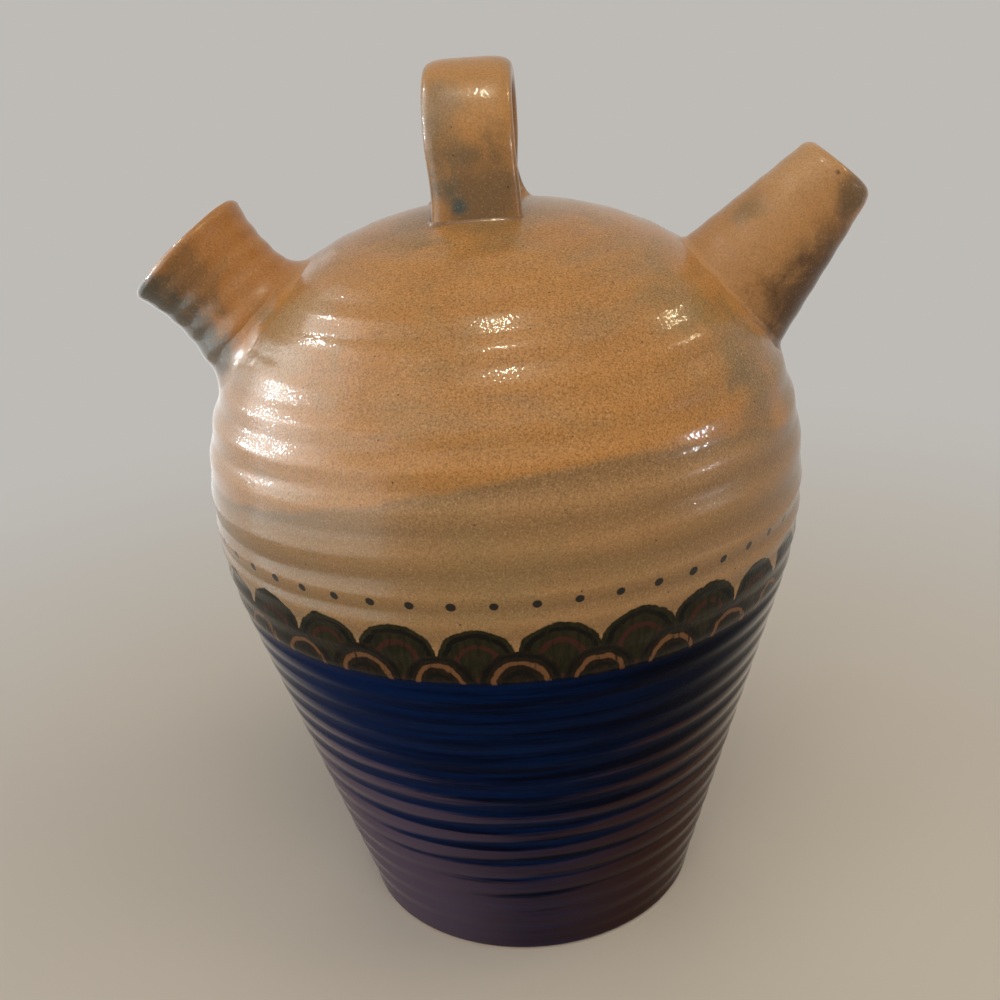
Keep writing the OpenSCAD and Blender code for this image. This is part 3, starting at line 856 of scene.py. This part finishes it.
def make_dome(skin, valley, seam):
    """Thrown dome: the skin above the seam, its inside, and the holes under both necks."""
    outer = len(skin) - 1 - seam
    inner = dome_line(np.linspace(math.pi / 2, 0, INSIDE_ROWS[1]), WALL)
    # The skin closes at its pole, and the inside starts again from its own
    shells = [
        turned([*skin[seam:-1], skin[-1].mean(0)[None]]),
        turned([np.array([[0, 0, inner[0, 1]]]), *lathe(inner[1:])]),
    ]
    points = np.concatenate([shells[0][0], shells[1][0]])
    shift = len(shells[0][0])
    faces = list(shells[0][1]) + [tuple(i + shift for i in f) for f in shells[1][1]]
    rim = len(points) - COLUMNS
    faces += [(rim + j, rim + (j + 1) % COLUMNS, (j + 1) % COLUMNS, j) for j in range(COLUMNS)]
    bare = np.arange(len(faces)) >= len(shells[0][1])
    glazes = [SAND_GLAZE, RAW_CLAY]
    dome = make_piece("shoulder_dome_glazed", points, faces, glazes, "shoulder_dome", bare)
    marks = np.zeros(len(points))
    marks[:outer * COLUMNS] = valley[seam:-1].ravel()
    mark_rings(dome, marks)
    for neck, r in ((FILLER, FILLER_HOLE_R), (SPOUT, SPOUT_HOLE_R)):
        cut_hole(dome, neck.hole(r))
    smooth_over_seam(dome, skin[seam - 1:seam + 2])


def cut_hole(piece, cutter):
    """Cuts one hole through a piece and throws the cutter away."""
    cut = piece.modifiers.new("hole", "BOOLEAN")
    cut.object, cut.operation, cut.solver = cutter, "DIFFERENCE", "EXACT"
    whole = piece.data
    piece.data = bpy.data.meshes.new_from_object(piece.evaluated_get(bpy.context.evaluated_depsgraph_get()))
    piece.modifiers.clear()
    piece.data.name = piece.name
    spare = cutter.data
    bpy.data.objects.remove(cutter)
    for mesh in (whole, spare):
        bpy.data.meshes.remove(mesh)
    piece.data.set_sharp_from_angle(angle=math.radians(CREASE))


# Necks
def filler_side(s):
    """Outside radius of the filler mouth along its axis."""
    s = np.asarray(s, float)
    lip_s = FILLER_LEN - FILLER_LIP / 2
    out = FILLER_LIP_SPREAD * (np.maximum(s - FILLER_WAIST_S, 0) / (lip_s - FILLER_WAIST_S)) ** 2
    root = FILLER_ROOT_SPREAD * ((FILLER_WAIST_S - np.clip(s, 0, FILLER_WAIST_S)) / FILLER_WAIST_S) ** 2
    return FILLER_WAIST_R + out + root


def spout_side(s):
    """Outside radius of the pouring spout along its axis."""
    return SPOUT_ROOT_R + (SPOUT_TIP_R - SPOUT_ROOT_R) * np.asarray(s, float) / SPOUT_LEN


def make_filler():
    """Thrown mouth with faint rings, a waist and a rounded, slightly uneven lip."""
    a = FILLER.angle
    lip_r = FILLER_LIP / 2
    lip_s = FILLER_LEN - lip_r
    rim_r = FILLER_WAIST_R + FILLER_LIP_SPREAD
    uneven = 0.25 * (1 + np.sin(2 * a + 1.1)) + 0.12 * (1 + np.sin(5 * a))

    def row(r, s):
        share = np.clip(s / FILLER_LEN, 0, 1) ** 2
        return FILLER.row(r - uneven * share, s - 0.6 * uneven * share)

    start = FILLER.seat(filler_side, SEAT_INSET)
    rows = []
    for k in range(FILLER_ROWS):
        s = start + (lip_s - start) * k / (FILLER_ROWS - 1)
        ring = FILLER_RING_DEPTH * (1 - np.cos(TAU * s / FILLER_RING_PITCH + a + 0.5 * np.sin(2 * a)))
        rows.append(row(filler_side(s) - ring * np.clip((lip_s - s) / 6, 0, 1), s))
    for turn in np.linspace(0, math.pi, 15)[1:]:
        rows.append(row(rim_r - lip_r + lip_r * math.cos(turn), lip_s + lip_r * math.sin(turn)))
    flare_s = FILLER_LEN - FILLER_FLARE
    throat = FILLER_THROAT_R
    for r, s in bend((rim_r - FILLER_LIP, lip_s), (throat, (lip_s + flare_s) / 2), (throat, flare_s), 10)[1:]:
        rows.append(row(r, s))
    rows.append(FILLER.row(throat, FILLER_SEAT))
    rows.append(FILLER.row(FILLER_HOLE_R, FILLER_SEAT - 2))
    rows.append(FILLER.row(FILLER_HOLE_R, FILLER.seat(lambda s: FILLER_HOLE_R, SEAT_INSET)))
    points, faces, _ = turned(rows, ring=True)
    make_piece("filler_mouth_glazed", points, faces, [FILLER_GLAZE], "filler_mouth")


def make_spout():
    """Tapering spout with a rounded tip and a straight outlet."""
    a = SPOUT.angle
    start = SPOUT.seat(spout_side, SEAT_INSET)
    side_s = SPOUT_LEN - SPOUT_TIP_ROUND
    rows = []
    for k in range(SPOUT_ROWS):
        s = start + (side_s - start) * k / (SPOUT_ROWS - 1)
        worked = 0.12 * (1 + np.sin(3 * a + 0.08 * s)) + 0.08 * (1 - np.cos(TAU * s / 9 + a))
        rows.append(SPOUT.row(spout_side(s) - worked, s))
    tip = bend(
        (spout_side(side_s) - 0.2, side_s), (SPOUT_TIP_R, SPOUT_LEN),
        (SPOUT_TIP_R - SPOUT_TIP_ROUND, SPOUT_LEN), 12,
    )
    mouth = bend(
        (SPOUT_OUTLET_R + SPOUT_MOUTH_ROUND, SPOUT_LEN), (SPOUT_OUTLET_R, SPOUT_LEN),
        (SPOUT_OUTLET_R, SPOUT_LEN - SPOUT_MOUTH_ROUND), 6,
    )
    slope = 0.12 * (1 + np.sin(2 * a + 0.6))
    for r, s in (*tip[1:], *mouth):
        rows.append(SPOUT.row(r, s - slope))
    outlet_s = SPOUT_LEN - SPOUT_OUTLET_LEN
    rows.append(SPOUT.row(SPOUT_OUTLET_R, outlet_s))
    root = SPOUT_ROOT_R - SPOUT_ROOT_WALL
    low = SPOUT.seat(lambda s: root + (SPOUT_OUTLET_R - root) * s / outlet_s, SEAT_INSET)
    for share in np.linspace(0, 1, 12)[1:]:
        s = outlet_s + (low - outlet_s) * share
        rows.append(SPOUT.row(root + (SPOUT_OUTLET_R - root) * s / outlet_s, s))
    points, faces, _ = turned(rows, ring=True)
    make_piece("pouring_spout_glazed", points, faces, [SPOUT_GLAZE], "pouring_spout")


def make_neck_weld(name, neck, side, rise, reach, node, finish):
    """Clay worked into the corner between a neck and the dome, feathered out on both."""
    joint = neck.seat(side, 0.0)
    top, corner = joint + rise, side(joint)
    rim = neck.seat(lambda s: corner + reach, 0.0)
    rows = []
    for u in np.linspace(0, 1, 19):
        a, b, c = (1 - u) ** 2, 2 * u * (1 - u), u ** 2
        r = a * (side(top) - 0.4) + b * corner + c * (corner + reach)
        # On the dome's side it rides on the rings of the skin
        out = np.clip((r - corner) / reach, 0, 1)
        lift = neck.seat(lambda s: corner + reach * out, 0.0) - joint - (rim - joint) * out
        rows.append(neck.row(r, a * top + b * joint + c * (rim - 0.3) + lift))
    rows.reverse()
    rows.append(neck.row(side(top) - WELD_BACK, top - 0.5))
    rows.append(neck.row(side(joint) - WELD_BACK, rim - 2))
    points, faces, _ = turned(rows, ring=True)
    make_piece(name, points, faces, [finish], node, crease=SOFT_CREASE)


# Handle
def at_handle(points):
    """Turns and shifts the handle's own points to their place on the jug."""
    c, s = math.cos(HANDLE_TURN), math.sin(HANDLE_TURN)
    x, y = points[:, 0] + HANDLE_SHIFT, points[:, 1]
    return np.stack([c * x - s * y, s * x + c * y, points[:, 2]], 1)


def dome_below(x, y, inset=0.0):
    """Height under a place in the handle's own directions, at a depth under the dome's skin."""
    moved = at_handle(np.stack([x, y, np.zeros_like(x)], 1))
    moved[:, 2] = dome_height(moved[:, 0], moved[:, 1])
    return dome_height(moved[:, 0], moved[:, 1], dome_dip(moved) + inset)


def strap_section(width, thick):
    """Outline of the strap: across its width, and outward from the arch."""
    a = np.linspace(0, TAU, STRAP_COLUMNS, endpoint=False)
    x = np.sign(np.cos(a)) * np.abs(np.cos(a)) ** STRAP_SIDES * width / 2
    n = np.sign(np.sin(a)) * np.abs(np.sin(a)) ** STRAP_FACES * thick / 2
    return x, n


def make_handle():
    """Pulled strap that rises from the front of the dome, arches over and comes down behind."""
    rows = []
    legs, arch = 40, 56
    for k in range(2 * legs + arch + 1):
        if k <= legs:
            share, turn = k / legs, math.pi
        elif k < legs + arch:
            share, turn = 1.0, math.pi * (1 - (k - legs) / arch)
        else:
            share, turn = (2 * legs + arch - k) / legs, 0.0
        along = k / (2 * legs + arch)
        flare = 0.06 * (1 - share) ** 3 if share < 1 else 0.0
        width = HANDLE_W * (0.965 + 0.03 * math.sin(math.pi * along) + flare)
        thick = HANDLE_T * (0.97 + 0.2 * flare)
        x, n = strap_section(width, thick)
        x = x + 0.5 * math.sin(11 * along + 0.6) * np.abs(x) / (HANDLE_W / 2)
        y = (LEG_Y + n - STRAP_INSET) * math.cos(turn)
        z = ARCH_Z + (LEG_Y + n - STRAP_INSET) * math.sin(turn)
        if share < 1:
            foot = dome_below(x, y, SEAT_INSET)
            z = foot + (ARCH_Z - foot) * share
        rows.append(at_handle(np.stack([x, y, z], 1))[::-1])
    ends = [rows[0].mean(0)[None], *rows, rows[-1].mean(0)[None]]
    points, faces, _ = turned(ends)
    make_piece("strap_handle_glazed", points, faces, [HANDLE_GLAZE], "strap_handle")


def make_leg_weld(name, behind, rise, reach, sunk, node, finish):
    """Clay pressed round one foot of the strap, the front one at -1 and the rear one at 1. Its upper edge
    is sunk into the strap."""
    x, n = strap_section(HANDLE_W * 1.045, HANDLE_T)
    y = behind * (LEG_Y + n)
    step_x, step_y = np.roll(x, -1) - np.roll(x, 1), np.roll(y, -1) - np.roll(y, 1)
    size = np.hypot(step_x, step_y)
    out_x, out_y = behind * step_y / size, -behind * step_x / size
    rows = []
    for u in np.linspace(0, 1, 9):
        a, b, c = (1 - u) ** 2, 2 * u * (1 - u), u ** 2
        off = -sunk * a + 0.1 * b + reach * c
        px, py = x + off * out_x, y + off * out_y
        ground = dome_below(px, py, 0.35 * c)
        rows.append(at_handle(np.stack([px, py, ground + rise * a + 0.15 * b], 1)))
    px, py = x - WELD_BACK * out_x, y - WELD_BACK * out_y
    ground = dome_below(px, py)
    rows.append(at_handle(np.stack([px, py, ground - 2.5], 1)))
    rows.append(at_handle(np.stack([px, py, ground + rise * 0.7], 1)))
    if behind > 0:
        rows.reverse()
    points, faces, _ = turned(rows, ring=True)
    make_piece(name, points, faces, [finish], node, crease=SOFT_CREASE)


def make_coil():
    """Thumb-pressed coil over the seam inside."""
    profile = [(wall_radius(z, WALL), z) for z in np.linspace(SEAM_Z - COIL_HALF, SEAM_Z, 8)]
    top = math.asin((COIL_HALF / (DOME_H - WALL)) ** (FULLNESS / 2))
    profile += list(dome_line(np.linspace(0, top, 8)[1:], WALL))
    thumb = THUMB_DEPTH * (1 + np.sin(THUMB_MARKS * ROUND) * np.sin(ROUND + 0.4))
    for u in np.linspace(0, 1, 12)[1:-1]:
        proud = 4 * COIL_THICK * u * (1 - u) - thumb * math.sin(math.pi * u)
        profile.append((BELLY_R - WALL - proud.clip(0.3), SEAM_Z + COIL_HALF * (1 - 2 * u)))
    points, faces, _ = turned(lathe(profile), ring=True)
    make_piece("seam_coil_pressed", points, faces, [RAW_CLAY], "seam_coil", crease=SOFT_CREASE)


thrown = throw_skin()
make_lower_body(*thrown)
make_dome(*thrown)
make_coil()
make_filler()
make_neck_weld("filler_weld_glazed", FILLER, filler_side, *FILLER_WELD, "filler_weld", FILLER_GLAZE)
make_spout()
make_neck_weld("spout_weld_glazed", SPOUT, spout_side, *SPOUT_WELD, "spout_weld", SPOUT_GLAZE)
make_handle()
make_leg_weld("handle_front_weld_glazed", -1, *FRONT_WELD, "handle_front_weld", SHADED_WELD_GLAZE)
make_leg_weld("handle_rear_weld_glazed", 1, *REAR_WELD, "handle_rear_weld", HANDLE_GLAZE)


# Studio
WALL_TONE = colour(190, 187, 182)
# Distances from the jug's axis, in metres, between which the floor turns as pale as the wall
PALE_FROM = 0.08
PALE_FULL = 0.6
# Height in metres that the lamps face
LAMP_AIM = 0.18
# Camera: angles in radians, place in metres, and sensor and focal length in millimetres
CAMERA_PITCH = 0.3816
CAMERA_YAW = -0.0073
CAMERA_ROLL = -0.0697
CAMERA_PLACE = (0.0, -0.3988, 0.3021)
SENSOR_MM = 36.0
FOCAL_MM = SENSOR_MM * 1.254


def seen_share(board):
    """1 for what the camera and the gloss see directly, 0 for light that bounces."""
    path = board.put("ShaderNodeLightPath").outputs
    seen = board.calc("MAXIMUM", path["Is Camera Ray"], path["Is Glossy Ray"])
    return board.calc("MAXIMUM", seen, path["Is Transmission Ray"])


def make_floor():
    """Plain pale floor, very wide, that stays pale far from the lamps."""
    mesh = bpy.data.meshes.new("floor")
    far = 12.0
    mesh.from_pydata([(-far, -far, 0), (far, -far, 0), (far, far, 0), (-far, far, 0)], [], [(0, 1, 2, 3)])
    material, board, shader, place = new_finish("pale_floor")
    tone = board.blend(board.noise(place, 3.0), colour(226, 214, 198), colour(222, 209, 192))
    board.feed(shader.inputs["Base Color"], tone)
    shader.inputs["Roughness"].default_value = 0.9
    shader.inputs["Specular IOR Level"].default_value = 0.0
    glow = board.put("ShaderNodeEmission", {"Color": WALL_TONE, "Strength": 1.0})
    away = board.put("ShaderNodeVectorMath", {0: place}, operation="LENGTH").outputs["Value"]
    share = board.calc("MULTIPLY", board.spread(away, PALE_FROM, PALE_FULL, 0.12, 1.0), seen_share(board))
    both = board.put("ShaderNodeMixShader", {0: share, 1: shader.outputs[0], 2: glow.outputs[0]})
    out = next(n for n in board.tree.nodes if n.type == "OUTPUT_MATERIAL")
    board.feed(out.inputs["Surface"], both.outputs[0])
    mesh.materials.append(material)
    floor = bpy.data.objects.new("floor", mesh)
    bpy.context.scene.collection.objects.link(floor)


def add_lamp(name, azimuth, elevation, distance, width, tall, watts, tint, lights=True, shape="ELLIPSE"):
    """A lamp that faces the jug from a direction in degrees and a distance in metres. It either lights the
    jug or only shines in its gloss."""
    a, e = math.radians(azimuth), math.radians(elevation)
    aim = Vector((0, 0, LAMP_AIM))
    away = Vector((math.cos(e) * math.cos(a), math.cos(e) * math.sin(a), math.sin(e)))
    light = bpy.data.lights.new(name, "AREA")
    light.shape, light.size, light.size_y = shape, width, tall
    light.energy, light.color = watts, tint
    lamp = bpy.data.objects.new(name, light)
    lamp.location = aim + away * distance
    lamp.rotation_euler = away.to_track_quat("Z", "Y").to_euler()
    lamp.visible_camera, lamp.visible_diffuse, lamp.visible_glossy = False, lights, not lights
    bpy.context.scene.collection.objects.link(lamp)


def make_world():
    """Soft light from all round, and a pale wall to look at."""
    world = bpy.data.worlds.new("studio")
    world.use_nodes = True
    board = Board(world.node_tree)
    soft = board.put("ShaderNodeBackground", {"Color": (1.0, 0.98, 0.95, 1.0), "Strength": 0.12})
    wall = board.put("ShaderNodeBackground", {"Color": WALL_TONE, "Strength": 1.0})
    both = board.put("ShaderNodeMixShader", {0: seen_share(board), 1: soft.outputs[0], 2: wall.outputs[0]})
    board.put("ShaderNodeOutputWorld", {"Surface": both.outputs[0]})
    bpy.context.scene.world = world


def make_camera():
    """Camera at the photograph's place: a little above the jug, looking down, slightly rolled."""
    pitch, yaw, roll = CAMERA_PITCH, CAMERA_YAW, CAMERA_ROLL
    right = Vector((math.cos(yaw), -math.sin(yaw), 0))
    ahead = Vector((math.cos(pitch) * math.sin(yaw), math.cos(pitch) * math.cos(yaw), -math.sin(pitch)))
    up = Vector((math.sin(pitch) * math.sin(yaw), math.sin(pitch) * math.cos(yaw), math.cos(pitch)))
    x = right * math.cos(roll) + up * math.sin(roll)
    y = up * math.cos(roll) - right * math.sin(roll)
    data = bpy.data.cameras.new("camera")
    data.sensor_width, data.lens = SENSOR_MM, FOCAL_MM
    data.clip_start, data.clip_end = 0.01, 60.0
    camera = bpy.data.objects.new("camera", data)
    turn = Matrix((x, y, -ahead)).transposed().to_4x4()
    camera.matrix_world = Matrix.Translation(CAMERA_PLACE) @ turn
    bpy.context.scene.collection.objects.link(camera)
    bpy.context.scene.camera = camera


make_floor()
# Lamps: azimuth, elevation, distance, width, height, watts and tint, and False for one seen only in gloss
add_lamp("top_light", -85, 74, 1.5, 1.2, 1.0, 5.6, (1.0, 0.95, 0.86))
add_lamp("front_light", -90, 40, 1.8, 1.6, 1.2, 9.0, (1.0, 0.95, 0.86))
add_lamp("right_light", -15, 52, 1.6, 1.0, 0.8, 3.4, (1.0, 0.89, 0.66))
add_lamp("left_light", 198, 8, 1.9, 1.6, 1.0, 5.4, (0.84, 0.95, 1.0))
add_lamp("back_light", 90, 25, 1.8, 1.6, 1.2, 4.5, (1.0, 0.97, 0.93))
add_lamp("top_spark", -85, 74, 1.3, 0.09, 0.08, 5.0, (1.0, 0.9, 0.66), False)
add_lamp("left_spark", 152, 40, 1.3, 0.08, 0.07, 2.4, (1.0, 0.97, 0.92), False)
add_lamp("right_spark", 13, 35, 1.3, 0.07, 0.06, 1.8, (1.0, 0.86, 0.56), False)
add_lamp("low_spark", -15, 2, 1.7, 0.13, 0.05, 4.8, (0.9, 0.95, 1.0), False)
for azimuth, elevation in ((158, 5), (164, 16), (170, 8), (176, 17)):
    add_lamp("window_spark", azimuth, elevation, 1.6, 0.12, 0.09, 2.9, (0.9, 0.96, 1.0), False)
add_lamp("wide_sheen", 195, 28, 1.7, 3.0, 2.4, 21.0, (0.9, 0.98, 1.0), False)
add_lamp("left_sheen", 172, 24, 1.6, 1.5, 1.6, 16.0, (0.92, 0.97, 1.0), False)
add_lamp("back_card", 145, 0, 0.42, 0.5, 0.36, 0.36, (0.92, 0.97, 1.0), False, "RECTANGLE")
add_lamp("side_card", 200, 0, 0.45, 0.5, 0.36, 1.2, (0.74, 0.92, 1.0), False, "RECTANGLE")
make_world()
make_camera()
bpy.context.scene.view_settings.view_transform = "Standard"
